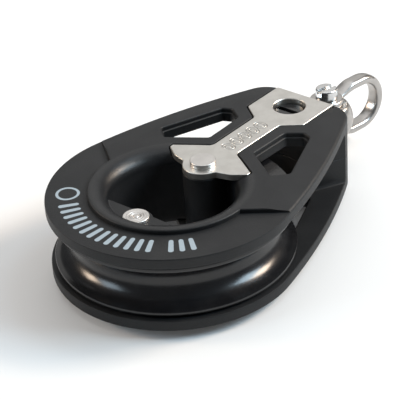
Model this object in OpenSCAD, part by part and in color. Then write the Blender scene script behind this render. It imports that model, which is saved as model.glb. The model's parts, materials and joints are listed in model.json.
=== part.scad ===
// Single sheave block with a ball-bearing sheave, side straps and a swivelling shackle head.
// Millimetres. The origin is the centre of the sheave; +Z is the sheave's axis and +X points to the head.
// Every piece on the -Z side is the mirror image of its partner on the +Z side.

/* [Sheave] */
// Outside diameter of the sheave
sheave_d = 50; // [46:1:50]
// Width of the sheave across its flanges
sheave_w = 11.1; // [10.5:0.1:11.2]
// Diameter at the bottom of the rope groove
groove_d = 40.6; // [40.4:0.1:42]
// Width of the flat land at the rim of each flange
rim_land = 1; // [0.6:0.1:1.4]

/* [Bearing] */
// Diameter of a bearing ball
ball_d = 2.8; // [2.4:0.1:2.8]
// Height of each row of balls above or below the middle plane
ball_row_z = 3.4; // [3.2:0.1:3.5]
// Radius of the hub spigot that carries the bearing
hub_r = 14.7; // [14.5:0.1:14.7]
// Wall of the inner race sleeve
sleeve_t = 0.9; // [0.7:0.1:0.9]
// Running clearance on each side of a ball
ball_gap = 0.05; // [0.03:0.01:0.08]

/* [Cheeks] */
// Radius of the round end of a cheek
cheek_r = 25.9; // [25.7:0.1:27]
// Distance from the sheave's centre to the end of the head
head_x = 46.5; // [46:0.5:48]
// Half the gap between the cheeks
cheek_inner_z = 6; // [5.8:0.1:6.2]
// Height of the sunken ring face round the hub
ring_z = 8.3; // [8:0.1:8.6]
// Height of the raised face
face_z = 9.2; // [9:0.1:9.2]
// Radius of the hollow through the hub
hollow_r = 12.9; // [12.5:0.1:13]
// Radius of the foot of the rolled hub lip
lip_r = 17; // [16.5:0.1:17.2]
// Height of the rolled hub lip
lip_z = 9.4; // [9.2:0.1:9.6]

/* [Straps] */
// Thickness of a side strap
strap_t = 1.5; // [1.2:0.1:1.5]
// Height of a strap's outer face
strap_z = 9.3; // [9.3:0.1:9.6]
// Half the width of a strap's neck
neck_half = 3.3; // [3:0.1:3.6]
// Gap round a strap in its channel
strap_gap = 0.3; // [0.2:0.05:0.4]

/* [Rivets] */
// Distance of the strap rivet from the sheave's centre
strap_rivet_x = 9.9; // [9.7:0.1:10]
// Distance of the tail rivet from the sheave's centre
tail_rivet_x = 11.2; // [11:0.1:11.3]
// Diameter of a rivet's head
rivet_head_d = 5.4; // [5:0.1:5.6]

/* [Swivel head] */
// Radius of the swivel post's shaft
post_r = 3; // [2.8:0.1:3.1]
// Radius of the rounded eye on the post
eye_r = 6; // [5.8:0.1:6]
// Distance of the shackle pin from the sheave's centre
pin_x = 53.5; // [53.5:0.1:54]
// Distance of the lock selector from the sheave's centre
lock_x = 39.65; // [39.5:0.05:40]
// Radius of the hole in the strap over the lock selector
lock_eye_r = 3.55; // [3.5:0.05:3.6]

/* [Shackle] */
// Height of the bow over its round end
bow_h = 13.5; // [13.3:0.1:13.7]
// Length from the pin to the end of the bow
bow_l = 17.35; // [17.3:0.05:19]
// Thickness of the bow's bar
bar_t = 2.1; // [2:0.05:2.2]
// Width of the bow's bar
bar_w = 3.5; // [3:0.1:4]
// Height over the two lugs that hold the pin
lugs_h = 10.4; // [10.2:0.1:10.6]
// Radius of the shackle pin
pin_r = 2; // [1.8:0.1:2.1]
// Angle at which the shackle stands to one side, in degrees
swing = -8.5; // [-20:0.5:0]

/* [Hidden] */
$fn = 96;
eps = 0.01;              // overlap that keeps a cut from leaving a skin
run_gap = 0.05;          // radial clearance of a turning fit
press_gap = 0.02;        // radial gap of a fixed fit

nylon = [0.13, 0.13, 0.14];
acetal = [0.07, 0.07, 0.08];
strap_steel = [0.78, 0.77, 0.74];
cast_steel = [0.72, 0.72, 0.71];

// Bearing, worked outwards from the hub
sleeve_r = hub_r + press_gap + sleeve_t;
ball_r = ball_d / 2;
ball_circle = sleeve_r + ball_gap + ball_r;
race_r = ball_circle + ball_r + ball_gap;
race_out = race_r + 0.7; // seat of the race in the sheave
ball_count = floor(360 / (2 * asin((ball_r + press_gap) / ball_circle)));
retainer_t = 0.5;
retainer_gap = 0.25;     // between a retainer and the sleeve
race_half = sheave_w / 2 - retainer_t - run_gap;
rib_half = ball_row_z - ball_r - 0.1;
rib_h = 0.9;             // rib between the two rows

// Rope groove: an arc through the bottom and both inner rim edges
sheave_r = sheave_d / 2;
half_w = sheave_w / 2;
groove_half = half_w - rim_land;
groove_depth = (sheave_d - groove_d) / 2;
groove_r = (groove_depth * groove_depth + groove_half * groove_half) / (2 * groove_depth);
rim_chamfer = 0.3;

// Plan of a cheek: the ring, two long shallow sides and a blunt head with rounded corners
side_r = 160;            // radius of the long sides
side_start = 79;         // angle on the ring where a side begins
side_c = [-(side_r - cheek_r) * cos(side_start), -(side_r - cheek_r) * sin(side_start)];
corner_r = 6;
corner_c = [head_x - corner_r,
            side_c[1] + sqrt(pow(side_r - corner_r, 2) - pow(head_x - corner_r - side_c[0], 2))];
side_end = atan2(corner_c[1] - side_c[1], corner_c[0] - side_c[0]);

// Step from the sunken ring up to the raised face, and the lip's profile
step_in = [0.3, 17.3];
step_out = [6.3, 25.2];
lip_w = lip_r - 0.4 - hollow_r;
lip_drop = 3.3;
lip_edge = 0.15;         // bevel round the top of the lip
boss_r = 4.3;            // boss round the strap rivet, on strap and cheek
boss_back_x = 14;        // where the boss runs into the hub's wall
tab_x = 8.7;             // straight edge of the tab round the tail rivet
tab_z = 7;
tab_root = 0.5;          // how far the tab runs into the hub's wall
tab_bump_r = 3.4;
strap_in_z = strap_z - strap_t;

// Windows: an inner arc round the hub, then straight sides to a point near the head
window_hub_r = 20.2;
window_foot = 17;        // angle where the inner arc starts
window_top = 45.3;       // angle where the inner arc ends
window_tip = [[16.75, 17.2], [30.9, 11.8], [31.8, 9.7], [29.5, 6.3]];

// Head block between the cheeks
web_r = 34.6;            // radius of the hollow face towards the sheave
web_foot = 16.5;         // half angle of that face
web_side = [41.3, 13.9]; // where its side meets the plan
housing_x = [37.7, 45.2];
housing_y = 6.5;
housing_z = 5.9;
chamber_x = 34.6;        // back of the chamber behind the housing
wall_x = 45.3;           // inside of the end wall
post_hole_gap = 0.3;     // round the post where it leaves the end wall
dowel_at = [41, 9.6];
dowel_r = 1.4;
dowel_half = 3.8;
far = 60;                // past every edge of the plan

// Strap outline, half of it, from the neck outwards
foot_tip = [12.1, 10.3];
strap_end_x = 45.5;
strap_head_half = 7.55;
strap_head_x = 34.65;
neck_x = 31.5;
neck_end_x = 16.7;
foot_in = [15.6, 5.4];   // where the foot turns out to its tip
foot_tip_w = 0.6;
foot_back = [9.4, 7.5];  // back edge of the foot, down to the boss
foot_root = [8.2, 3.6];

rivet_top = strap_z + 1;
rivet_bevel = 0.2;
rivet_pocket = 0.15;     // gap round the tail rivet's head in the lip
strap_shank_r = 2.2;
strap_tube_r = 3;
tail_shank_r = 1.8;
tail_tube_r = 2.6;
tail_tube_z = 6.2;
tail_rivet_top = 7.65;

post_head_r = 4.3;
post_head_x = [34.9, 36.9];
post_end_x = pin_x - 4;  // the shaft ends inside the eye
washer_x = [36.95, 37.65];
washer_r = 4.5;

bow_c = bow_l - bow_h / 2;
flare_start = 2.6;       // the legs rise from the lugs to the bow between these two places
flare_end = 7.6;
lug_r = 3.8;
lug_t = 1.45;
lug_in = lugs_h / 2 - lug_t;
eye_half = lug_in - 0.1;
pin_head_r = 2.45;
pin_head_h = 2.45;
pin_seat_z = lugs_h / 2 + run_gap;
slot_w = 1.3;            // slots of the pin and the lock selector
pin_slot_z = pin_seat_z + 1.1;

lock_top_z = 8.1;
lock_r = 3.3;
lock_flange_r = 4.1;
lock_flange_z = [6.25, strap_in_z - 0.1];
lock_stub_r = 1.5;
lock_stub_z = 3.4;
lock_slot_depth = 1;
lock_washer_t = 0.3;

function arc(c, r, a0, a1, n) = [for (i = [0:n]) c + r * [cos(a0 + (a1 - a0) * i / n), sin(a0 + (a1 - a0) * i / n)]];
function flip(points) = [for (i = [len(points) - 1:-1:0]) [points[i][0], -points[i][1]]];

// One side of the cheek's plan, from the head end round to the tail
half_plan = concat(arc(corner_c, corner_r, 0, side_end, 8), arc(side_c, side_r, side_end, side_start, 16));

module mirrored(low) {
    mirror([0, 0, low ? 1 : 0]) children();
}

module plan() {
    circle(r = cheek_r, $fn = 144);
    polygon(concat(half_plan, flip(half_plan)));
}

module window() {
    polygon(concat(arc([0, 0], window_hub_r, window_foot, window_top, 6), window_tip));
}

module head_block_plan() {
    intersection() {
        plan();
        difference() {
            polygon([web_r * [cos(web_foot), -sin(web_foot)], [web_side[0], -web_side[1]], [far, -far / 2],
                     [far, far / 2], web_side, web_r * [cos(web_foot), sin(web_foot)]]);
            circle(r = web_r, $fn = 144);
        }
    }
}

// Strap outline grown by g on every side
module strap_plan(g = 0) {
    upper = [[strap_end_x + g, strap_head_half + g], [strap_head_x - g / 2, strap_head_half + g],
             [neck_x - g / 2, neck_half + g], [neck_end_x + g, neck_half + g], [foot_in[0] + g, foot_in[1] + g / 2],
             [foot_tip[0] + g, foot_tip[1] + g], [foot_tip[0] - foot_tip_w - g, foot_tip[1] + g],
             [foot_back[0] - g, foot_back[1]], [foot_root[0] - g, foot_root[1]]];
    polygon(concat(upper, flip(upper)));
    translate([strap_rivet_x, 0]) circle(r = boss_r + g);
}

// Solid of one cheek half above the middle plane, before anything is cut from it
module cheek_body() {
    translate([0, 0, cheek_inner_z]) linear_extrude(ring_z - cheek_inner_z) difference() {
        plan();
        circle(r = hub_r - eps);
    }
    // Raised face from the step to the head
    translate([0, 0, ring_z - eps]) linear_extrude(face_z - ring_z + eps) intersection() {
        plan();
        polygon([step_in, step_out, [step_out[0], far], [far, far], [far, -far], [step_out[0], -far],
                 [step_out[0], -step_out[1]], [step_in[0], -step_in[1]], [hub_r, 0]]);
    }
    // Hub spigot with its rolled lip
    rotate_extrude() polygon(concat(
        [[hollow_r, 0], [hub_r, 0], [hub_r, cheek_inner_z + eps], [lip_r, cheek_inner_z + eps],
         [lip_r, lip_z - 4 * lip_edge], [lip_r - lip_edge, lip_z - lip_edge]],
        [for (a = [90:-15:0]) [hollow_r + lip_w * (1 - cos(a)), lip_z - lip_drop * (1 - sin(a))]]));
    linear_extrude(cheek_inner_z + eps) head_block_plan();
    // Boss under the strap's foot
    linear_extrude(strap_in_z) difference() {
        union() {
            translate([strap_rivet_x, 0]) circle(r = boss_r);
            translate([strap_rivet_x, -boss_r]) square([boss_back_x - strap_rivet_x, 2 * boss_r]);
        }
        translate([hub_r, -boss_r - 1]) square([5, 2 * boss_r + 2]);
    }
    // Tab round the tail rivet
    linear_extrude(tab_z) {
        intersection() {
            circle(r = hollow_r + tab_root);
            union() {
                translate([-far - tab_x, -far]) square([far, 2 * far]);
                translate([-tail_rivet_x, 0]) circle(r = tab_bump_r);
            }
        }
    }
}

module cheek(low) {
    mirrored(low) difference() {
        cheek_body();
        for (s = [0, 1]) mirror([0, s, 0]) translate([0, 0, cheek_inner_z - 1]) linear_extrude(5) window();
        translate([0, 0, strap_in_z]) linear_extrude(5) strap_plan(strap_gap);
        // Strap rivet: bore for its spacer tube
        translate([strap_rivet_x, 0, -1]) cylinder(r = strap_tube_r + press_gap, h = 12);
        // Tail rivet: tube bore, shank bore and a pocket that lets the head sit down into the lip
        translate([-tail_rivet_x, 0, -1]) cylinder(r = tail_tube_r + press_gap, h = 1 + tail_tube_z);
        translate([-tail_rivet_x, 0, 0]) cylinder(r = tail_shank_r + press_gap, h = 12);
        translate([-tail_rivet_x, 0, tab_z]) cylinder(r = rivet_head_d / 2 + rivet_pocket, h = 5);
        // Chamber for the swivel housing, the post's head and its washer
        translate([chamber_x, -housing_y - press_gap, -1])
            cube([wall_x - chamber_x, 2 * (housing_y + press_gap), 1 + housing_z + press_gap]);
        translate([wall_x - 1, 0, 0]) rotate([0, 90, 0]) cylinder(r = post_r + post_hole_gap, h = 5);
        for (s = [-1, 1]) translate([dowel_at[0], s * dowel_at[1], -1])
            cylinder(r = dowel_r + press_gap, h = 1 + dowel_half + 0.2);
        if (!low) translate([lock_x, 0, housing_z - 1]) cylinder(r = lock_flange_r + run_gap, h = 4);
    }
}

module upper_cheek() {
    color(nylon) cheek(false);
}

module lower_cheek() {
    color(nylon) cheek(true);
}

module strap(low) {
    mirrored(low) translate([0, 0, strap_in_z]) linear_extrude(strap_t) difference() {
        strap_plan();
        translate([strap_rivet_x, 0]) circle(r = strap_shank_r + press_gap);
        if (!low) translate([lock_x, 0]) circle(r = lock_eye_r);
    }
}

module upper_strap() {
    color(strap_steel) strap(false);
}

module lower_strap() {
    color(strap_steel) strap(true);
}

module rivet(shank_r, seat_z, top_z) {
    cylinder(r = shank_r, h = 2 * seat_z, center = true);
    for (s = [0, 1]) mirror([0, 0, s]) translate([0, 0, seat_z]) {
        cylinder(r = rivet_head_d / 2, h = top_z - seat_z - rivet_bevel);
        translate([0, 0, top_z - seat_z - rivet_bevel])
            cylinder(r1 = rivet_head_d / 2, r2 = rivet_head_d / 2 - rivet_bevel, h = rivet_bevel);
    }
}

module strap_rivet() {
    color(cast_steel) translate([strap_rivet_x, 0, 0]) rivet(strap_shank_r, strap_z, rivet_top);
}

module tail_rivet() {
    color(cast_steel) translate([-tail_rivet_x, 0, 0]) rivet(tail_shank_r, tab_z, tail_rivet_top);
}

module tube(r_in, r_out, half_h) {
    difference() {
        cylinder(r = r_out, h = 2 * half_h, center = true);
        cylinder(r = r_in, h = 2 * half_h + 1, center = true);
    }
}

module strap_spacer() {
    color(cast_steel) translate([strap_rivet_x, 0, 0]) tube(strap_shank_r + press_gap, strap_tube_r, strap_in_z);
}

module tail_spacer() {
    color(cast_steel) translate([-tail_rivet_x, 0, 0]) tube(tail_shank_r + press_gap, tail_tube_r, tail_tube_z);
}

module hub_sleeve() {
    color(cast_steel) tube(hub_r + press_gap, sleeve_r, cheek_inner_z - run_gap);
}

module head_dowels() {
    color(cast_steel) for (s = [-1, 1]) translate([dowel_at[0], s * dowel_at[1], 0])
        cylinder(r = dowel_r, h = 2 * dowel_half, center = true);
}

module swivel_housing() {
    color(cast_steel) difference() {
        translate([housing_x[0], -housing_y, -housing_z])
            cube([housing_x[1] - housing_x[0], 2 * housing_y, 2 * housing_z]);
        translate([housing_x[0] - 1, 0, 0]) rotate([0, 90, 0]) cylinder(r = post_r + run_gap, h = 20);
        translate([lock_x, 0, 0]) cylinder(r = lock_stub_r + run_gap, h = 10);
    }
}

module thrust_washer() {
    color(acetal) translate([washer_x[0], 0, 0]) rotate([0, 90, 0]) difference() {
        cylinder(r = washer_r, h = washer_x[1] - washer_x[0]);
        translate([0, 0, -1]) cylinder(r = post_r + run_gap, h = 5);
    }
}

module sheave() {
    groove_c = groove_d / 2 + groove_r;
    edge = asin(groove_half / groove_r);
    color(acetal) rotate_extrude($fn = 144) polygon(concat(
        [[race_out, -half_w], [sheave_r - rim_chamfer, -half_w], [sheave_r, -half_w + rim_chamfer]],
        [for (i = [-12:12]) [groove_c - groove_r * cos(edge * i / 12), groove_r * sin(edge * i / 12)]],
        [[sheave_r, half_w - rim_chamfer], [sheave_r - rim_chamfer, half_w], [race_out, half_w]]));
}

module sheave_race() {
    color(cast_steel) rotate_extrude() polygon([
        [race_out, -race_half], [race_out, race_half], [race_r, race_half], [race_r, rib_half],
        [race_r - rib_h, rib_half], [race_r - rib_h, -rib_half], [race_r, -rib_half], [race_r, -race_half]]);
}

module ball_retainer(low) {
    mirrored(low) translate([0, 0, race_half]) difference() {
        cylinder(r = race_out, h = retainer_t);
        translate([0, 0, -1]) cylinder(r = sleeve_r + retainer_gap, h = 5);
    }
}

module upper_ball_retainer() {
    color(nylon) ball_retainer(false);
}

module lower_ball_retainer() {
    color(nylon) ball_retainer(true);
}

module ball_row(low) {
    mirrored(low) for (i = [0:ball_count - 1])
        rotate([0, 0, 360 * i / ball_count]) translate([ball_circle, 0, ball_row_z]) sphere(r = ball_r, $fn = 24);
}

module upper_balls() {
    color(strap_steel) ball_row(false);
}

module lower_balls() {
    color(strap_steel) ball_row(true);
}

module swivel_post() {
    color(cast_steel) difference() {
        union() {
            translate([post_head_x[0], 0, 0]) rotate([0, 90, 0])
                cylinder(r = post_head_r, h = post_head_x[1] - post_head_x[0]);
            translate([post_head_x[0], 0, 0]) rotate([0, 90, 0]) cylinder(r = post_r, h = post_end_x - post_head_x[0]);
            intersection() {
                translate([pin_x, 0, 0]) sphere(r = eye_r);
                translate([pin_x, 0, 0]) cube([20, 20, 2 * eye_half], center = true);
            }
        }
        translate([pin_x, 0, 0]) cylinder(r = pin_r + run_gap, h = 20, center = true);
    }
}

// The shackle is drawn straight ahead of the pin, then swung aside
module swung() {
    translate([pin_x, 0, 0]) rotate([0, 0, swing]) children();
}

// Side view of the shackle between two heights: low at the lugs, high at the bow
module leg_plan(low, high, back) {
    polygon([[back, -low], [flare_start, -low], [flare_end, -high], [bow_c, -high],
             [bow_c, high], [flare_end, high], [flare_start, low], [back, low]]);
}

module shackle_bow() {
    color(cast_steel) swung() difference() {
        union() {
            translate([bow_c, bar_w / 2, 0]) rotate([90, 0, 0]) cylinder(r = bow_h / 2, h = bar_w);
            translate([0, bar_w / 2, 0]) rotate([90, 0, 0]) linear_extrude(bar_w) leg_plan(lugs_h / 2, bow_h / 2, 0);
            cylinder(r = lug_r, h = lugs_h, center = true);
        }
        translate([bow_c, 10, 0]) rotate([90, 0, 0]) cylinder(r = bow_h / 2 - bar_t, h = 20);
        translate([0, 10, 0]) rotate([90, 0, 0]) linear_extrude(20) leg_plan(lug_in, bow_h / 2 - bar_t, -10);
        cylinder(r = pin_r + run_gap, h = 20, center = true);
    }
}

module shackle_pin() {
    color(cast_steel) swung() difference() {
        union() {
            translate([0, 0, -lugs_h / 2]) cylinder(r = pin_r, h = lugs_h / 2 + pin_seat_z + eps);
            translate([0, 0, pin_seat_z]) cylinder(r = pin_head_r, h = pin_head_h);
        }
        translate([-5, -slot_w / 2, pin_slot_z]) cube([10, slot_w, 5]);
    }
}

module lock_selector() {
    color(acetal) translate([lock_x, 0, 0]) difference() {
        union() {
            translate([0, 0, lock_stub_z]) cylinder(r = lock_stub_r, h = lock_top_z - 1.2 - lock_stub_z);
            translate([0, 0, lock_flange_z[0]])
                cylinder(r = lock_flange_r, h = lock_flange_z[1] - lock_flange_z[0]);
            translate([0, 0, lock_flange_z[0] + eps]) cylinder(r = lock_r, h = lock_top_z - lock_flange_z[0] - eps);
        }
        translate([-slot_w / 2, -5, lock_top_z - lock_slot_depth]) cube([slot_w, 10, 5]);
    }
}

module lock_washer() {
    color(cast_steel) translate([lock_x, 0, housing_z]) difference() {
        cylinder(r = lock_flange_r - 0.1, h = lock_washer_t);
        translate([0, 0, -1]) cylinder(r = lock_stub_r + 0.3, h = 5);
    }
}

upper_cheek();
lower_cheek();
upper_strap();
lower_strap();
strap_rivet();
tail_rivet();
strap_spacer();
tail_spacer();
hub_sleeve();
head_dowels();
swivel_housing();
thrust_washer();
sheave();
sheave_race();
upper_ball_retainer();
lower_ball_retainer();
upper_balls();
lower_balls();
swivel_post();
shackle_bow();
shackle_pin();
lock_selector();
lock_washer();
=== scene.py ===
# %% [markdown]
# # A single sheave block
# A sheave block turns a rope: two moulded cheeks hold a grooved wheel on balls, two steel straps carry the load
# from the rivets to the head, and a shackle on a swivel post fastens it to the boat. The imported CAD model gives
# every place and every joint. This script puts a finely made surface over each piece that shows. All shapes are
# worked out in millimetres and turned into metres as the mesh is made.

# %% The frame
import json

import bmesh
import bpy
import numpy as np
from mathutils import Matrix, Vector


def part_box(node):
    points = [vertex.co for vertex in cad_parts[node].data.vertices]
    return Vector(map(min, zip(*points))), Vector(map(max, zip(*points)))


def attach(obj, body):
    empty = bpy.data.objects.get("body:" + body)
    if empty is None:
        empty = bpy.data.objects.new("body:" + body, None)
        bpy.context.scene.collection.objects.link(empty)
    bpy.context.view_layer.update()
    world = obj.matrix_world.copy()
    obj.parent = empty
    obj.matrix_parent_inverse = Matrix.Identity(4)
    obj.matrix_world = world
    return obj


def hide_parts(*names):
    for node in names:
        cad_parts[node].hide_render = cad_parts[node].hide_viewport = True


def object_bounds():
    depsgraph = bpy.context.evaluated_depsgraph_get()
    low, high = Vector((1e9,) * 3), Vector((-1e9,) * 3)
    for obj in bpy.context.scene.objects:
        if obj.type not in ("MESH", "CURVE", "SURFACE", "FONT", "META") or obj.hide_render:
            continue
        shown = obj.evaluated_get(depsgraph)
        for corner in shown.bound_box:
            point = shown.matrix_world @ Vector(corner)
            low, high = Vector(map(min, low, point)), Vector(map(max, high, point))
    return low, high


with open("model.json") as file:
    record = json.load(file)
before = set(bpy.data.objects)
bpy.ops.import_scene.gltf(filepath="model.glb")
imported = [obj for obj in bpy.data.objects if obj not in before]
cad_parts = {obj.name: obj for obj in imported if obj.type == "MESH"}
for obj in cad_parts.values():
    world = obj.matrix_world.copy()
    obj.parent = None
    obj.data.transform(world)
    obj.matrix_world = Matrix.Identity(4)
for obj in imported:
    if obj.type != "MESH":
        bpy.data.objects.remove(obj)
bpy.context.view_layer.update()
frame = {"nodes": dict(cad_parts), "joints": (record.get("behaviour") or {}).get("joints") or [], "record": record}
MM = 0.001


def box_mm(node):
    """Lowest and highest corner of a CAD node, in millimetres."""
    low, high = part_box(node)
    return np.array(low) / MM, np.array(high) / MM


# %% [markdown]
# ## Camera
# The block lies flat and is seen from its tail, a little to its right, from a third of the way up. A long lens
# keeps the perspective weak. The camera's axes are written as three directions, because the picture is tilted by
# a few degrees, and one turning angle more would be harder to read than the three rows.

# %% The camera
camera_data = bpy.data.cameras.new("camera")
camera = bpy.data.objects.new("camera", camera_data)
bpy.context.scene.collection.objects.link(camera)
bpy.context.scene.camera = camera
camera_data.sensor_width = 36
camera_data.lens = 139.0
camera_data.clip_start = 0.01
camera_data.clip_end = 20
camera_place = Vector((-0.1968, -0.1807, 0.1694))
camera_right = Vector((0.6339, -0.7714, -0.0560))
camera_down = Vector((-0.4357, -0.2963, -0.8499))
camera_ahead = Vector((0.6390, 0.5632, -0.5239))
turn = Matrix((camera_right, -camera_down, -camera_ahead)).transposed()
camera.matrix_world = Matrix.Translation(camera_place) @ turn.to_4x4()
print("camera at", tuple(camera_place))

# %% [markdown]
# ## Outlines and solids
# Most pieces of a block are plates: an outline cut from sheet or moulded, with its edges rounded. So the basic
# shape here is an outline carried up a profile, each row moved outwards and upwards by the profile's numbers.
# Turned pieces are a profile carried round an axis. Both are one grid of points, so numpy makes them whole.

# %% Outlines


def arc(centre, radius, start, stop, steps):
    """Points centre + radius * (cos a, sin a), with a going from start to stop in degrees."""
    angle = np.radians(np.linspace(start, stop, steps + 1))
    return np.array(centre) + radius * np.stack([np.cos(angle), np.sin(angle)], 1)


def without_repeats(points):
    """The closed outline without points that lie on the one before."""
    apart = np.linalg.norm(points - np.roll(points, 1, 0), axis=1) > 1e-4
    return points[apart]


def rounded(corners, radii, steps=6):
    """A closed outline with an arc at each corner.

    With unit vectors a and b to the two neighbours and h half the angle between them, the arc's centre lies
    radius / sin(h) along the bisector, and the arc starts radius / tan(h) along a.
    """
    corner = np.array(corners, float)
    radius = np.broadcast_to(np.array(radii, float), len(corner))[:, None]
    a = np.roll(corner, 1, 0) - corner
    b = np.roll(corner, -1, 0) - corner
    a /= np.linalg.norm(a, axis=1)[:, None]
    b /= np.linalg.norm(b, axis=1)[:, None]
    half = np.arccos(np.clip((a * b).sum(1), -1, 1))[:, None] / 2
    middle = a + b
    centre = corner + middle / np.linalg.norm(middle, axis=1)[:, None] * radius / np.sin(half)
    start = corner + a * radius / np.tan(half) - centre
    sense = -np.sign(a[:, :1] * b[:, 1:] - a[:, 1:] * b[:, :1])
    angle = sense * (np.pi - 2 * half) * np.linspace(0, 1, steps + 1)
    x = centre[:, :1] + start[:, :1] * np.cos(angle) - start[:, 1:] * np.sin(angle)
    y = centre[:, 1:] + start[:, :1] * np.sin(angle) + start[:, 1:] * np.cos(angle)
    return without_repeats(np.stack([x, y], -1).reshape(-1, 2))


def offset(outline, distance):
    """The outline with every point moved outwards along the mean normal of its two edges.

    The step is distance / (1 + n1 . n2) times (n1 + n2), so that straight edges move by exactly distance.
    """
    edge = np.roll(outline, -1, 0) - outline
    normal = np.stack([edge[:, 1], -edge[:, 0]], 1) / np.linalg.norm(edge, axis=1)[:, None]
    before = np.roll(normal, 1, 0)
    return outline + distance * (normal + before) / (1 + (normal * before).sum(1))[:, None]


def both_sides(half):
    """A closed outline from its upper half, which runs from the +X end to the -X end."""
    mirror = half[::-1] * [1, -1]
    return without_repeats(np.concatenate([half, mirror]))


# %% Solids


def solid(name, rings, joined=False):
    """A closed mesh object from rings of points, shape (rings, points, 3), in millimetres.

    Neighbouring rings are joined by four-sided faces. The first and last ring are filled in, or, when joined is
    true, joined to each other.
    """
    count, around = rings.shape[:2]
    index = np.arange(count * around).reshape(count, around)
    beside = np.roll(index, -1, 1)
    last = count if joined else count - 1
    above, above_beside = np.roll(index, -1, 0), np.roll(beside, -1, 0)
    quads = np.stack([index, beside, above_beside, above], -1)[:last].reshape(-1, 4).tolist()
    ends = [] if joined else [index[0, ::-1].tolist(), index[-1].tolist()]
    mesh = bpy.data.meshes.new(name)
    mesh.from_pydata(rings.reshape(-1, 3) * MM, [], quads + ends)
    made = bpy.data.objects.new(name, mesh)
    bpy.context.scene.collection.objects.link(made)
    tidy(made)
    return made


def tidy(piece):
    """Merges doubled points, drops empty faces and turns all faces outwards."""
    work = bmesh.new()
    work.from_mesh(piece.data)
    bmesh.ops.remove_doubles(work, verts=work.verts, dist=1e-7)
    bmesh.ops.dissolve_degenerate(work, dist=1e-7, edges=work.edges)
    bmesh.ops.recalc_face_normals(work, faces=work.faces)
    work.to_mesh(piece.data)
    work.free()


def plate(name, outline, profile):
    """An outline carried up a profile of (outward offset, height) pairs, filled in at both ends."""
    rows = [np.column_stack([offset(outline, out), np.full(len(outline), z)]) for out, z in profile]
    return solid(name, np.array(rows))


def turned(name, profile, joined=False, steps=96, place=(0, 0, 0)):
    """A profile of (radius, height) pairs carried round the Z axis at a place."""
    angle = np.linspace(0, 2 * np.pi, steps, endpoint=False)
    radius, height = np.array(profile, float).T
    x = radius[:, None] * np.cos(angle)
    y = radius[:, None] * np.sin(angle)
    z = np.repeat(height[:, None], steps, 1)
    return solid(name, np.stack([x, y, z], -1) + np.array(place, float), joined)


def quarter(radius, steps, outer, top):
    """A rounded edge: (offset, height) pairs from a wall at offset outer up to a flat at height top."""
    angle = np.linspace(0, np.pi / 2, steps + 1)
    return list(zip(outer - radius * (1 - np.cos(angle)), top - radius * (1 - np.sin(angle))))


def block_of(name, low, high):
    """A plain box, used only for cutting."""
    corners = [[low[0], low[1]], [high[0], low[1]], [high[0], high[1]], [low[0], high[1]]]
    return plate(name, np.array(corners, float), [(0, low[2]), (0, high[2])])


def combined(piece, others, operation):
    """The piece joined with or cut by the others, which are used up."""
    for other in others:
        change = piece.modifiers.new(other.name, "BOOLEAN")
        change.operation = operation
        change.object = other
        change.solver = "MANIFOLD"
    graph = bpy.context.evaluated_depsgraph_get()
    mesh = bpy.data.meshes.new_from_object(piece.evaluated_get(graph))
    piece.modifiers.clear()
    piece.data = mesh
    for other in others:
        bpy.data.objects.remove(other)
    tidy(piece)
    return piece


def moved(piece, matrix):
    """The piece with its mesh moved by a matrix given in millimetres."""
    there = matrix.copy()
    there.translation = there.translation * MM
    piece.data.transform(there)
    return piece


def mirrored(piece, name):
    """A copy on the other side of the middle plane, with its faces turned the right way again."""
    copy = bpy.data.objects.new(name, piece.data.copy())
    bpy.context.scene.collection.objects.link(copy)
    copy.data.transform(Matrix.Scale(-1, 4, (0, 0, 1)))
    copy.data.flip_normals()
    return copy


print("shape tools ready")

# %% [markdown]
# ## Shader maths
# A material is a small calculation. Wrapping a socket in a class that knows + - * / lets the calculation be
# written as one, and each sign adds the Math node that it stands for.

# %% Shader tools


class Value:
    """A shader socket that adds Math nodes when it is used in an expression."""

    def __init__(self, finish, socket):
        self.finish, self.socket = finish, socket

    def join(self, operation, first, second):
        """A Math node on two values."""
        return self.finish.node("Math", {"operation": operation}, {0: first, 1: second})

    def __add__(self, other):
        return self.join("ADD", self, other)

    def __sub__(self, other):
        return self.join("SUBTRACT", self, other)

    def __rsub__(self, other):
        return self.join("SUBTRACT", other, self)

    def __mul__(self, other):
        return self.join("MULTIPLY", self, other)

    def __truediv__(self, other):
        return self.join("DIVIDE", self, other)

    def __gt__(self, other):
        """1 where this is more than the other."""
        return self.join("GREATER_THAN", self, other)

    def __lt__(self, other):
        return self.join("LESS_THAN", self, other)

    __radd__, __rmul__ = __add__, __mul__

    def over(self, low, high):
        """0 below low, 1 above high and smooth between."""
        limits = {"Value": self, "From Min": low, "From Max": high}
        return self.finish.node("MapRange", {"interpolation_type": "SMOOTHSTEP"}, limits)


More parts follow.
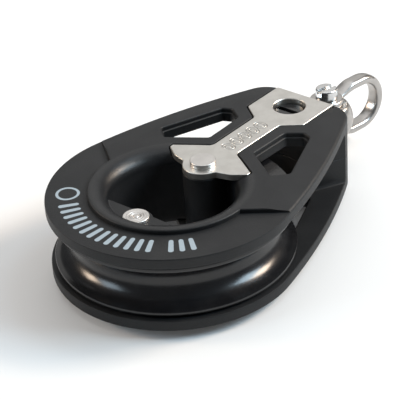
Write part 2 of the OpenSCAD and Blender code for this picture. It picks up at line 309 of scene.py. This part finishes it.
class Finish:
    """One material, built node by node."""

    def __init__(self, name):
        self.material = bpy.data.materials.new(name)
        self.material.use_nodes = True
        self.tree = self.material.node_tree
        self.surface = self.tree.nodes["Principled BSDF"]

    def node(self, kind, settings=None, inputs=None, output=0):
        """Adds a node. Settings are its properties; inputs are socket values or links."""
        made = self.tree.nodes.new("ShaderNode" + kind)
        for key, value in (settings or {}).items():
            setattr(made, key, value)
        self.feed(made.inputs, inputs or {})
        return Value(self, made.outputs[output])

    def feed(self, sockets, inputs):
        """Links each Value to its socket, and writes each plain value into it."""
        for key, value in inputs.items():
            if isinstance(value, Value):
                self.tree.links.new(value.socket, sockets[key])
            else:
                sockets[key].default_value = value

    def place(self):
        """The place on the object, in metres."""
        return self.node("TexCoord", output="Object")

    def axes(self, place):
        """x, y and z of a place, in millimetres."""
        return [self.node("SeparateXYZ", inputs={0: place}, output=axis) / MM for axis in "XYZ"]

    def noise(self, coordinate, size_mm, detail=2.0, roughness=0.5):
        """Noise whose lumps are about size_mm across."""
        inputs = {"Vector": coordinate, "Scale": 1 / (size_mm * MM), "Detail": detail, "Roughness": roughness}
        return self.node("TexNoise", inputs=inputs)

    def blend(self, share, first, second):
        """A colour that goes from first to second as share goes from 0 to 1.

        A Mix node has sockets for numbers, vectors and colours. The colour ones are inputs 6 and 7 and output 2.
        """
        return self.node("Mix", {"data_type": "RGBA"}, {0: share, 6: first, 7: second}, output=2)

    def length(self, a, b):
        """The square root of a * a + b * b."""
        return self.node("Math", {"operation": "SQRT"}, {0: a * a + b * b})

    def size(self, value):
        """The value without its sign."""
        return self.node("Math", {"operation": "ABSOLUTE"}, {0: value})

    def bump(self, height, depth_mm):
        """A normal from a height between 0 and 1, as deep as depth_mm."""
        return self.node("Bump", inputs={"Height": height, "Distance": depth_mm * MM})

    def done(self, **inputs):
        """Feeds the surface; an underscore in a name stands for a space."""
        self.feed(self.surface.inputs, {key.replace("_", " "): value for key, value in inputs.items()})
        return self.material


def grey(level, warm=0.0):
    """A near-grey colour; warm moves it towards red and away from blue."""
    return (level * (1 + warm), level, level * (1 - warm), 1)


def finished(piece, material, body, slot, *nodes, smooth=32):
    """Gives a piece its material, smooth shading and its place in the model."""
    piece.data.materials.clear()
    piece.data.materials.append(material)
    piece.data.shade_smooth()
    piece.data.set_sharp_from_angle(angle=np.radians(smooth))
    weighted = piece.modifiers.new("even_normals", "WEIGHTED_NORMAL")
    weighted.keep_sharp = True
    weighted.weight = 80
    if nodes:
        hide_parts(*nodes)
    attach(piece, body)
    print(piece.name, len(piece.data.polygons), "faces")
    return piece


# %% [markdown]
# ## Finishes
# The cheeks are moulded in a black nylon that is filled with glass fibre: it is never quite black, its grain is
# fine and dull, and the rolled lip is a little smoother where the mould was polished. The printed mark on the
# sunken ring is here a plain ring and a row of rounded bars.

# %% The printed mark
PRINT_R = 21.2
RING_AT, RING_R = -18.6, 2.2
RING_LINE = (0.34, 0.24)
BAR_START, BAR_PITCH, BARS, GAP_AFTER = -15.05, 2.05, 17, 13
BAR_HALF, BAR_ROUND, SOFT_EDGE = 1.6, 0.5, 0.04
PRINT_ABOVE = 8.0


def printed_mark(finish, x, y, z):
    """1 on the print, 0 off it: a ring, then a row of rounded bars that follow the sunken ring.

    With the angle a round the axis and the mean radius r0, (r0 * a, r - r0) is a flat strip. A row of shapes is
    the same shape seen in a coordinate that starts again every pitch, and one bar of the row is left out.
    """
    radius = finish.length(x, y)
    angle = finish.node("Math", {"operation": "ARCTAN2"}, {0: y * -1, 1: x * -1})
    along = angle * PRINT_R
    across = radius - PRINT_R
    ring = finish.size(finish.length(along - RING_AT, across) - RING_R).over(*RING_LINE)
    cell = finish.node("Math", {"operation": "PINGPONG"}, {0: along - BAR_START, 1: BAR_PITCH / 2})
    past_end = finish.node("Math", {"operation": "MAXIMUM"}, {0: finish.size(across) - BAR_HALF, 1: 0.0})
    bars = finish.length(BAR_PITCH / 2 - cell, past_end).over(BAR_ROUND + SOFT_EDGE, BAR_ROUND - SOFT_EDGE)
    gap = BAR_START + BAR_PITCH * GAP_AFTER
    row = (along > BAR_START) * (along < BAR_START + BAR_PITCH * BARS)
    row = row * ((along < gap) + (along > gap + BAR_PITCH))
    return (ring + bars * row) * (z > PRINT_ABOVE)


# %% Cheek nylon


def cheek_finish():
    """Dull black with a fine grain; the rolled lip round the hollow is smoother."""
    finish = Finish("cheek_nylon")
    place = finish.place()
    x, y, z = finish.axes(place)
    radius = finish.length(x, y)
    grain = finish.noise(place, 0.28, 3.0, 0.65)
    cloud = finish.noise(place, 6.0, 3.0)
    lip = radius.over(17.2, 16.2) * radius.over(12.6, 13.2) * (z * z > 36.0)
    tone = finish.blend(cloud.over(0.3, 0.7), (0.006, 0.0065, 0.0075, 1), (0.0095, 0.010, 0.011, 1))
    tone = finish.blend(grain.over(0.5, 0.75) * 0.5, tone, (0.022, 0.023, 0.025, 1))
    mark = printed_mark(finish, x, y, z)
    tone = finish.blend(mark, tone, (0.29, 0.345, 0.385, 1))
    normal = finish.bump(grain, 0.045)
    return finish.done(Base_Color=tone, Roughness=0.41 - lip * 0.20 + grain * 0.22, Normal=normal,
                       Specular_IOR_Level=0.34)


def sheave_finish():
    """Satin black, from the turning tool, with a faint cloud in its gloss."""
    finish = Finish("sheave_acetal")
    place = finish.place()
    cloud = finish.noise(place, 4.0, 3.0)
    grain = finish.noise(place, 0.2, 2.0)
    tone = finish.blend(cloud.over(0.3, 0.7), (0.007, 0.007, 0.008, 1), (0.011, 0.011, 0.012, 1))
    return finish.done(Base_Color=tone, Roughness=0.19 + cloud * 0.07, Normal=finish.bump(grain, 0.005))


def strap_finish():
    """Satin sheet steel. The neck carries a shallow stamped row of plain rings; painted shade darkens their lines."""
    finish = Finish("strap_steel")
    place = finish.place()
    x, y, z = finish.axes(place)
    grain = finish.noise(place, 0.13, 3.0, 0.6)
    cloud = finish.noise(place, 2.5, 2.0)

    pitch, row_start, neck_start, neck_end = 2.75, 17.0, 17.2, 30.6
    outer_ring, inner_ring, line = 1.2, 0.65, (0.16, 0.05)
    cell = finish.node("Math", {"operation": "PINGPONG"}, {0: x - row_start, 1: pitch / 2})
    reach = finish.length(pitch / 2 - cell, y * 0.8)
    lines = finish.size(reach - outer_ring).over(*line) + finish.size(reach - inner_ring).over(*line)
    stamped = lines * (x > neck_start) * (x < neck_end) * (z > 9.0)
    tone = finish.blend(cloud.over(0.3, 0.7), (0.55, 0.535, 0.505, 1), (0.61, 0.595, 0.565, 1))
    # Painted shade: the stamped lines are darkened towards a dull grey, as if shade lay in their grooves.
    tone = finish.blend(stamped * 0.35, tone, (0.33, 0.31, 0.29, 1))
    height = grain * 0.12 - stamped * 0.9
    return finish.done(Base_Color=tone, Metallic=1.0, Roughness=0.33 + grain * 0.12,
                       Normal=finish.bump(height, 0.09))


def steel_finish(name, level, roughness, grain_mm, depth_mm, warm=0.035):
    """Steel: an even tone broken by a fine grain that also roughens it."""
    finish = Finish(name)
    place = finish.place()
    grain = finish.noise(place, grain_mm, 3.0, 0.6)
    cloud = finish.noise(place, 2.5, 2.0)
    tone = finish.blend(cloud.over(0.3, 0.7), grey(level * 0.9, warm), grey(level, warm))
    normal = finish.bump(grain, depth_mm)
    return finish.done(Base_Color=tone, Metallic=1.0, Roughness=roughness + grain * 0.12, Normal=normal)


cheek_nylon = cheek_finish()
sheave_acetal = sheave_finish()
strap_steel = strap_finish()
rivet_steel = steel_finish("rivet_steel", 0.62, 0.34, 0.2, 0.008)
cast_steel = steel_finish("cast_steel", 0.44, 0.24, 0.9, 0.03)
pin_steel = steel_finish("pin_steel", 0.64, 0.17, 0.5, 0.01, warm=0.0)
race_steel = steel_finish("race_steel", 0.5, 0.2, 0.3, 0.004)
print("finishes made")

# %% [markdown]
# ## Cheeks
# A cheek is a moulded shell. Its plan is the round of the sheave with two long shallow sides that run to a
# blunt head. The raised face falls away gently towards its edge. One solid is built up from plates, and then cut
# with tools whose upper edges flare out, as a mould's radius does: that is what rounds the edges of the windows,
# the strap's channel and the sunken ring.

# %% Cheek sizes
cheek_high = box_mm("upper_cheek")[1]
strap_low, strap_high = box_mm("upper_strap")
cheek_r = cheek_high[1]
head_x = cheek_high[0]
face_z = strap_high[2]
inner_z = 6.0
ring_z = 8.3
hollow_r = 12.9
hub_r = box_mm("hub_sleeve")[1][0] - 0.92
strap_in_z = strap_low[2]
rivet_x = 9.9
tail_x = 11.2
tab_z = 7.0
rivet_boss_r = 4.3
lock_flange_r = 4.1
lock_x = box_mm("lock_selector")[0][0] + lock_flange_r

side_r = 160.0
side_start = 79.0
side_c = -(side_r - cheek_r) * np.array([np.cos(np.radians(side_start)), np.sin(np.radians(side_start))])
corner_r = 6.0
corner_dx = head_x - corner_r - side_c[0]
corner_c = np.array([head_x - corner_r, side_c[1] + np.sqrt((side_r - corner_r) ** 2 - corner_dx**2)])
side_end = np.degrees(np.arctan2(corner_c[1] - side_c[1], corner_dx))
print("cheek half width", cheek_r, "head at", head_x)

# %% Cheek outlines
half_plan = np.concatenate([
    arc(corner_c, corner_r, 0, side_end, 10),
    arc(side_c, side_r, side_end, side_start, 56),
    arc((0, 0), cheek_r, side_start, 180, 64),
])
plan = both_sides(half_plan)

web_r = 34.6
web_foot = 16.5
web_side = np.array([41.3, 13.9])
web_plan = without_repeats(np.concatenate([
    [[60, -24], [60, 24], web_side],
    arc((0, 0), web_r, web_foot, -web_foot, 24),
    [web_side * [1, -1]],
]))

window_corners = [[16.75, 17.2], [13.95, 14.35], [19.3, 6.0], [29.5, 6.3], [31.8, 9.7], [30.9, 11.8]]
window = rounded(window_corners, [0.9, 0.9, 0.9, 1.0, 0.9, 0.9])

step_in = np.array([0.3, 17.3])
step_out = np.array([6.3, 25.2])
step_far = step_in + (step_out - step_in) * 1.8
sunken = without_repeats(np.concatenate([
    [step_far],
    arc((0, 0), 34, 62, 298, 60),
    [step_far * [1, -1]],
    arc((0, 0), 17.25, -89, -271, 90),
]))
print("outlines", len(plan), len(window), len(sunken))

# %% The strap's outline


def strap_outline():
    """Head, neck and fish-tail foot, with the round boss at the rivet."""
    corners = [[45.5, 7.55], [34.65, 7.55], [31.5, 3.35], [16.9, 3.2], [15.5, 5.6], [12.5, 10.4], [11.5, 10.3],
               [9.5, 7.4], [8.7, 4.4]]
    radii = [0.35, 0.7, 1.3, 1.6, 6.0, 0.3, 0.3, 4.0, 0.5]
    boss_start = np.degrees(np.arctan2(3.9, -1.82))
    boss = arc((rivet_x, 0), rivet_boss_r, boss_start, 180, 16)
    mirror = np.array(corners)[::-1] * [1, -1]
    return rounded(np.concatenate([corners, boss[1:], (boss[:-1] * [1, -1])[::-1], mirror]),
                   radii + [0.0] * (2 * len(boss) - 2) + radii[::-1])


strap = strap_outline()
print("strap outline", len(strap))

# %% Building a cheek


def cheek_shell():
    """The solid before it is cut: a crowned plate, the hub's spigot and the head block."""
    shoulder = [(-2.2, face_z - 0.42), (-3.4, face_z - 0.2), (-4.6, face_z - 0.06), (-5.6, face_z)]
    edge = [(-0.3, inner_z), (-0.1, inner_z + 0.07), (0, inner_z + 0.3)] + quarter(0.75, 6, 0, face_z - 0.62)
    shell = plate("upper_cheek_moulding", plan, edge + shoulder)
    spigot = turned("spigot", [(hollow_r - 1, 0), (hub_r - 0.1, 0), (hub_r, 0.1), (hub_r, inner_z + 0.5),
                               (hollow_r - 1, inner_z + 0.5)])
    fillet = [(-0.1, 0), (0, 0.1), (0, 4.9), (0.08, 5.4), (0.3, 5.8), (0.8, inner_z + 0.02), (0.8, 6.5)]
    head = plate("head", web_plan, fillet)
    limit = plate("limit", plan, [(-0.1, 0), (0, 0.1), (0, 6.6)])
    head = combined(head, [limit], "INTERSECT")
    return combined(shell, [spigot, head], "UNION")


def hub_cutter():
    """The hollow: a straight wall that rolls over to the face in a quarter of an ellipse."""
    angle = np.linspace(0, np.pi / 2, 13)
    width, drop = 3.8, 3.3
    radius = hollow_r + width * (1 - np.cos(angle))
    height = face_z + 0.004 - drop * (1 - np.sin(angle))
    roll = list(zip(radius, height))
    return turned("hollow", [(hollow_r, -1)] + roll + [(hollow_r + width + 0.3, face_z + 0.02),
                                                       (hollow_r + width + 0.3, 14)], steps=144)


def flared(name, outline, floor, top, radius, through=False):
    """A cutter whose upper edge flares out by radius as it reaches top."""
    angle = np.linspace(0, np.pi / 2, 6)
    flare = list(zip(radius * (1 - np.cos(angle)), top - radius * (1 - np.sin(angle))))
    below = [(0, floor)]
    if through:
        below = [(0.3, inner_z - 1), (0.3, inner_z - 0.3), (-0.3, inner_z + 0.3), (-0.3, top - 1.15),
                 (-0.18, top - 1.05), (0, top - 1.0)]
    return plate(name, outline, below + flare + [(radius + 0.02, top + 4)])


def cheek():
    """The whole upper cheek: the shell, cut, then the boss and the tab, then the fine cuts."""
    shell = cheek_shell()
    cutters = [hub_cutter()]
    cutters.append(flared("sunken_ring", sunken, ring_z, face_z, 0.35))
    cutters.append(flared("window_left", window, 0, face_z, 0.4, through=True))
    cutters.append(flared("window_right", (window * [1, -1])[::-1], 0, face_z, 0.4, through=True))
    shell = combined(shell, cutters, "DIFFERENCE")
    boss_r, boss_end = rivet_boss_r, 14
    boss_corners = [[rivet_x - boss_r, -boss_r], [boss_end, -boss_r], [boss_end, boss_r], [rivet_x - boss_r, boss_r]]
    boss_plan = rounded(boss_corners, [boss_r - 0.1, 0.3, 0.3, boss_r - 0.1], 10)
    boss = plate("boss", boss_plan, [(0, 0)] + quarter(0.25, 4, 0, strap_in_z))
    tab_wall = arc((0, 0), hollow_r + 0.6, 131, 229, 24)
    bump = arc((-tail_x, 0), 3.4, -44, 44, 12)
    tab_plan = without_repeats(np.concatenate([tab_wall, bump]))
    tab = plate("tab", tab_plan, [(0, 0)] + quarter(0.25, 4, 0, tab_z))
    shell = combined(shell, [boss, tab], "UNION")
    channel = flared("channel", offset(strap, 0.3), strap_in_z, face_z, 0.18)
    pocket = turned("pocket", [(2.85, tab_z), (2.85, 12)], place=(-tail_x, 0, 0), steps=64)
    lock_bore_r = lock_flange_r + 0.05
    lock_bore = turned("lock_bore", [(lock_bore_r, 5.0), (lock_bore_r, 12)], place=(lock_x, 0, 0), steps=64)
    chamber = block_of("chamber", (34.6, -6.55, -1), (45.3, 6.55, 5.95))
    spacer = turned("spacer_bore", [(3.02, -1), (3.02, 12)], place=(rivet_x, 0, 0), steps=48)
    tail = turned("tail_bore", [(2.62, -1), (2.62, 6.2)], place=(-tail_x, 0, 0), steps=48)
    mouth = turned("mouth", [(3.3, 0), (3.3, 6)], steps=64)
    mouth = moved(mouth, Matrix.Translation((44, 0, 0)) @ Matrix.Rotation(np.pi / 2, 4, "Y"))
    return combined(shell, [channel, pocket, lock_bore, chamber, spacer, tail, mouth], "DIFFERENCE")


upper_cheek = cheek()
lower_cheek = mirrored(upper_cheek, "lower_cheek_moulding")
finished(upper_cheek, cheek_nylon, "block", "cheek_nylon", "upper_cheek")
finished(lower_cheek, cheek_nylon, "block", "cheek_nylon", "lower_cheek")

# %% [markdown]
# ## Straps
# Each strap is stamped from sheet, so its edges are only slightly eased.

# %% Building the straps


def strap_plate(name, holes):
    """The outline as a sheet, with a round hole of each (x, radius)."""
    edge = [(-0.15, strap_in_z), (0, strap_in_z + 0.15)] + quarter(0.2, 4, 0, face_z)
    made = plate(name, strap, edge)
    cutters = [turned("hole", [(radius, 0), (radius, 8.99), (radius, 9.15), (radius + 0.15, face_z + 0.001),
                               (radius + 0.2, 12)], place=(x, 0, 0), steps=64) for x, radius in holes]
    return combined(made, cutters, "DIFFERENCE")


upper_strap = strap_plate("upper_strap_plate", [(lock_x, 3.55), (rivet_x, 2.25)])
without_eye = strap_plate("strap_without_eye", [(rivet_x, 2.25)])
lower_strap = mirrored(without_eye, "lower_strap_plate")
bpy.data.objects.remove(without_eye)
finished(upper_strap, strap_steel, "block", "strap_steel", "upper_strap")
finished(lower_strap, strap_steel, "block", "strap_steel", "lower_strap")

# %% [markdown]
# ## Rivets
# A rivet's head is spun over, which leaves rings on it.

# %% Building the rivets


def rivet(name, x, seat, top, shank, rings):
    """Both heads and the shank in one profile, from the upper middle to the lower middle."""
    head_r = 2.7
    edge = [(head_r + out, z) for out, z in quarter(0.16, 4, 0, top)][::-1]
    upper = rings + edge + [(head_r, seat + 0.02), (shank, seat)]
    profile = upper + [(radius, -z) for radius, z in upper[::-1]]
    return turned(name, profile, place=(x, 0, 0), steps=72)


strap_rivet_top = box_mm("strap_rivet")[1][2]
tail_rivet_top = box_mm("tail_rivet")[1][2]
plain_head = [(0.25, strap_rivet_top), (1.9, strap_rivet_top), (2.1, strap_rivet_top - 0.02), (2.3, strap_rivet_top)]
spun = [(0.2, 0.0), (0.42, -0.02), (0.6, -0.16), (0.85, -0.16), (1.0, -0.06), (1.2, -0.02), (1.32, -0.09),
        (1.5, -0.1), (1.62, -0.02), (1.9, 0.0), (2.02, -0.05), (2.2, -0.01)]
spun_head = [(radius, tail_rivet_top + z) for radius, z in spun]
finished(rivet("strap_rivet_body", rivet_x, face_z, strap_rivet_top, 2.2, plain_head), rivet_steel, "block",
         "rivet_steel", "strap_rivet")
finished(rivet("tail_rivet_body", -tail_x, tab_z, tail_rivet_top, 1.8, spun_head), rivet_steel, "block",
         "rivet_steel", "tail_rivet")

# %% [markdown]
# ## Sheave
# The wheel is turned: a groove that is one arc from rim to rim, with the rims' corners eased.

# %% Building the sheave
sheave_r = box_mm("sheave")[1][0]
sheave_half = box_mm("sheave")[1][2]
race_out = box_mm("sheave_race")[1][0]
rim_half = sheave_half - 1.0
groove_bottom = 20.3
depth = sheave_r - groove_bottom
groove_r = (depth**2 + rim_half**2) / (2 * depth)
groove_edge = np.arcsin(min(rim_half / groove_r, 1))
groove_angle = np.linspace(-0.93, 0.93, 33) * groove_edge
groove = list(zip(groove_bottom + groove_r * (1 - np.cos(groove_angle)), groove_r * np.sin(groove_angle)))
low_rim = [(race_out, -sheave_half), (sheave_r - 0.4, -sheave_half), (sheave_r - 0.12, -sheave_half + 0.1),
           (sheave_r, -sheave_half + 0.4), (sheave_r, -rim_half - 0.22), (sheave_r - 0.1, -rim_half - 0.05)]
high_rim = [(radius, -z) for radius, z in low_rim[::-1]]
sheave = turned("sheave_wheel", low_rim + groove + high_rim, joined=True, steps=192)
finished(sheave, sheave_acetal, "wheel", "sheave_acetal", "sheave")

# %% [markdown]
# ## Shackle, pin and post
# These are cast and polished: edges are full and soft. The bow is one bar of a rounded section carried along a
# D-shaped path.

# %% Building the shackle
bow_low, bow_high = box_mm("shackle_bow")
bow_h = bow_high[2] - bow_low[2]
lugs_h = 10.4
lug_t = 1.45
lug_in = lugs_h / 2 - lug_t
bow_in = 4.65
leg_in = lug_in + 0.1
leg_out = lugs_h / 2 - 0.12
flare_start, flare_end = 2.6, 7.8
bar_w = 3.5
pin_hole_r = 2.05
swing = next(joint for joint in frame["joints"] if joint["name"] == "shackle_swing")
pin_x = swing["pos_m"][0] / MM
clamp = next(mount for mount in frame["record"]["mounts"] if mount["name"] == "shackle_bow")
bow_centre = np.array(clamp["pos_m"])[:2] / MM - [pin_x, 0]
bow_c = np.hypot(*bow_centre)
swung = Matrix.Translation((pin_x, 0, 0)) @ Matrix.Rotation(np.arctan2(bow_centre[1], bow_centre[0]), 4, "Z")


def smooth_step(value, low, high):
    """0 below low, 1 above high, and 3t^2 - 2t^3 between."""
    t = np.clip((value - low) / (high - low), 0, 1)
    return t * t * (3 - 2 * t)


def bar_section(steps):
    """The bar's section: across from -1 to 1, and a share of its thickness from 0 inside to 1 outside.

    The outer face is crowned, the inner one is nearly flat, and the two sides are rounded.
    """
    angle = np.linspace(0, 2 * np.pi, steps, endpoint=False)
    cos, sin = np.cos(angle), np.sin(angle)
    across = np.sign(cos) * np.abs(cos) ** 0.62
    thick = np.sign(sin) * np.abs(sin) ** 0.62
    outer = 0.5 + 0.5 * thick * (1 - 0.16 * across**2)
    inner = 0.5 + 0.5 * thick
    return across, np.where(thick > 0, outer, inner)


def bow():
    """A bar carried along a leg, a half circle and the other leg.

    The inner and outer faces of a leg rise from the lugs' heights to the bow's, by the smooth step.
    """
    leg_steps, turn_steps = 20, 49
    leg = np.linspace(0, bow_c, leg_steps + 1)[:-1]
    rise = smooth_step(leg, flare_start, flare_end)
    leg_inner = leg_in + (bow_in - leg_in) * rise
    leg_outer = leg_out + (bow_h / 2 - leg_out) * rise
    inner = np.concatenate([leg_inner, np.full(turn_steps, bow_in), leg_inner[::-1]])
    outer = np.concatenate([leg_outer, np.full(turn_steps, bow_h / 2), leg_outer[::-1]])
    x = np.concatenate([leg, np.full(turn_steps, bow_c), leg[::-1]])
    out = np.concatenate([np.full(leg_steps, np.pi / 2), np.linspace(np.pi / 2, -np.pi / 2, turn_steps),
                          np.full(leg_steps, -np.pi / 2)])
    across, share = bar_section(40)
    reach = inner[:, None] + (outer - inner)[:, None] * share
    rings = np.stack([x[:, None] + np.cos(out)[:, None] * reach,
                      np.repeat(across[None] * bar_w / 2, len(x), 0),
                      np.sin(out)[:, None] * reach], -1)
    made = solid("shackle_bar", rings)
    lug_r, low, high = 3.8, lug_in, lugs_h / 2
    lug = [(0.5, low), (lug_r - 0.2, low), (lug_r, low + 0.2)] + [(lug_r + o, z) for o, z in quarter(0.4, 5, 0, high)]
    lugs = [turned("lug", lug + [(0.5, high)], steps=64)]
    lugs.append(mirrored(lugs[0], "lug_below"))
    made = combined(made, lugs, "UNION")
    made = combined(made, [turned("pin_hole", [(pin_hole_r, -9), (pin_hole_r, 9)], steps=48)], "DIFFERENCE")
    return moved(made, swung)


finished(bow(), cast_steel, "shackle", "cast_steel", "shackle_bow", smooth=40)

# %% Building the pin


def pin():
    """The head with its slot and the shaft, down to the lower lug's face."""
    top = box_mm("shackle_pin")[1][2]
    seat = lugs_h / 2 + 0.05
    head_r, shaft_r = 2.45, 2.0
    head = [(0.3, top)] + [(head_r + out, z) for out, z in quarter(0.4, 6, 0, top)][::-1]
    profile = head + [(head_r, seat + 0.15), (head_r - 0.15, seat), (shaft_r, seat), (shaft_r, -lugs_h / 2 + 0.2),
                      (shaft_r - 0.2, -lugs_h / 2), (0.3, -lugs_h / 2)]
    made = turned("shackle_pin_body", profile, steps=72)
    slot_cut = block_of("slot", (-5, -0.68, top - 1.35), (5, 0.68, 20))
    return moved(combined(made, [slot_cut], "DIFFERENCE"), swung)


finished(pin(), pin_steel, "pin", "cast_steel", "shackle_pin")

# %% Building the swivel post


def post():
    """A barrel-shaped eye round the pin, on a stem whose head is held inside the cheeks."""
    low = box_mm("swivel_post")[0]
    half = lug_in - 0.1
    eye_r, stem_end = 6.0, pin_x - 4
    edge = np.arcsin(half / eye_r) - 0.05
    barrel = [(eye_r * np.cos(a), eye_r * np.sin(a)) for a in np.linspace(-edge, edge, 29)]
    flat_r = np.sqrt(eye_r**2 - half**2)
    rim = [(pin_hole_r, half), (flat_r - 0.35, half), (flat_r - 0.12, half - 0.04)]
    profile = [(radius, -z) for radius, z in rim] + barrel + rim[::-1]
    eye = turned("swivel_eye", profile, joined=True, steps=96, place=(pin_x, 0, 0))
    shaft_r, head_r = 3.0, 4.3
    shaft = [(0.3, low[0]), (head_r - 0.2, low[0]), (head_r, low[0] + 0.2), (head_r, 36.9), (shaft_r, 36.9),
             (shaft_r, stem_end), (0.3, stem_end)]
    stem = moved(turned("stem", shaft, steps=64), Matrix.Rotation(np.pi / 2, 4, "Y"))
    return combined(eye, [stem], "UNION")


finished(post(), cast_steel, "swivel", "cast_steel", "swivel_post", smooth=40)

# %% [markdown]
# ## Lock selector
# A small black moulding with a slot to turn it by, set below the strap.

# %% Building the lock selector


def lock():
    """A slotted cap over a flange, on a stub that enters the cheek."""
    low, high = box_mm("lock_selector")
    top = high[2]
    flange = strap_in_z - 0.1
    profile = [(0.3, top)] + [(3.3 + out, z) for out, z in quarter(0.25, 4, 0, top)][::-1]
    profile += [(3.3, flange), (lock_flange_r, flange), (lock_flange_r, 6.25)]
    profile += [(1.5, 6.25), (1.5, low[2]), (0.3, low[2])]
    made = turned("lock_selector_body", profile, place=(lock_x, 0, 0), steps=72)
    cut = block_of("slot", (lock_x - 0.65, -5, top - 1), (lock_x + 0.65, 5, 20))
    return combined(made, [cut], "DIFFERENCE")


finished(lock(), sheave_acetal, "lock", "lock_acetal", "lock_selector")

# %% Finishes for the inner pieces
inner_finish = {"race_steel": race_steel, "lock_acetal": sheave_acetal}
slot_of = {part["node"]: part["material_slot"] for part in frame["record"]["subparts"]}
for node, piece in frame["nodes"].items():
    if not piece.hide_render:
        piece.data.materials.clear()
        piece.data.materials.append(inner_finish[slot_of[node]])
        print("inner piece", node, slot_of[node])

# %% [markdown]
# ## Floor and lights
# A pale table and soft square lights, as for a catalogue picture. The two large ones light the flat faces. The
# small warm and cool ones stand in pairs to the left and the right, and each pair makes one of the two-coloured
# highlights on the sheave. The last one, high on the right, does the same for the rolled lip.

# %% Floor and world
scene = bpy.context.scene
floor_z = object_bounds()[0][2] - 0.0001
floor_mesh = bpy.data.meshes.new("floor")
reach = 3.0
floor_mesh.from_pydata([(-reach, -reach, floor_z), (reach, -reach, floor_z), (reach, reach, floor_z),
                        (-reach, reach, floor_z)], [], [(0, 1, 2, 3)])
floor = bpy.data.objects.new("floor", floor_mesh)
scene.collection.objects.link(floor)
floor_mesh.materials.append(Finish("floor").done(
    Base_Color=grey(0.71), Roughness=0.9, Specular_IOR_Level=0.1, Emission_Color=grey(1), Emission_Strength=0.05))

world = bpy.data.worlds.new("world")
scene.world = world
world.use_nodes = True
world.node_tree.nodes["Background"].inputs["Color"].default_value = (0.93, 0.97, 1, 1)
world.node_tree.nodes["Background"].inputs["Strength"].default_value = 0.15
scene.view_settings.view_transform = "Standard"

# %% Lights


def softbox(name, turn_degrees, rise_degrees, distance, size, brightness, colour=(1, 1, 1)):
    """A square area light that faces the block from a heading and a height above the table.

    The power of a square light of side s that shines with a given brightness is brightness * pi * s^2.
    """
    data = bpy.data.lights.new(name, "AREA")
    data.size = size
    data.energy = brightness * np.pi * size**2
    data.color = colour
    lamp = bpy.data.objects.new(name, data)
    scene.collection.objects.link(lamp)
    heading, rise = np.radians(turn_degrees), np.radians(rise_degrees)
    ahead = Vector((np.cos(rise) * np.cos(heading), np.cos(rise) * np.sin(heading), np.sin(rise)))
    lamp.location = Vector((0.015, 0, 0)) + ahead * distance
    lamp.rotation_euler = ahead.to_track_quat("Z", "Y").to_euler()
    return lamp


softbox("overhead", 60, 78, 1.0, 1.0, 1.1)
softbox("behind", 39, 33, 1.3, 1.0, 0.76, (1, 0.98, 0.95))
softbox("warm_right", -34, 37, 0.8, 0.22, 35, (1.0, 0.82, 0.66))
softbox("cool_right", -55, 37, 0.9, 0.34, 16, (0.66, 0.86, 1.0))
softbox("warm_left", 120, 24, 0.8, 0.20, 20, (1.0, 0.80, 0.62))
softbox("cool_left", 144, 28, 0.9, 0.3, 6.5, (0.7, 0.87, 1.0))
softbox("cool_high", -25, 60, 0.9, 0.22, 7.0, (0.66, 0.85, 1.0))
print("lights made")
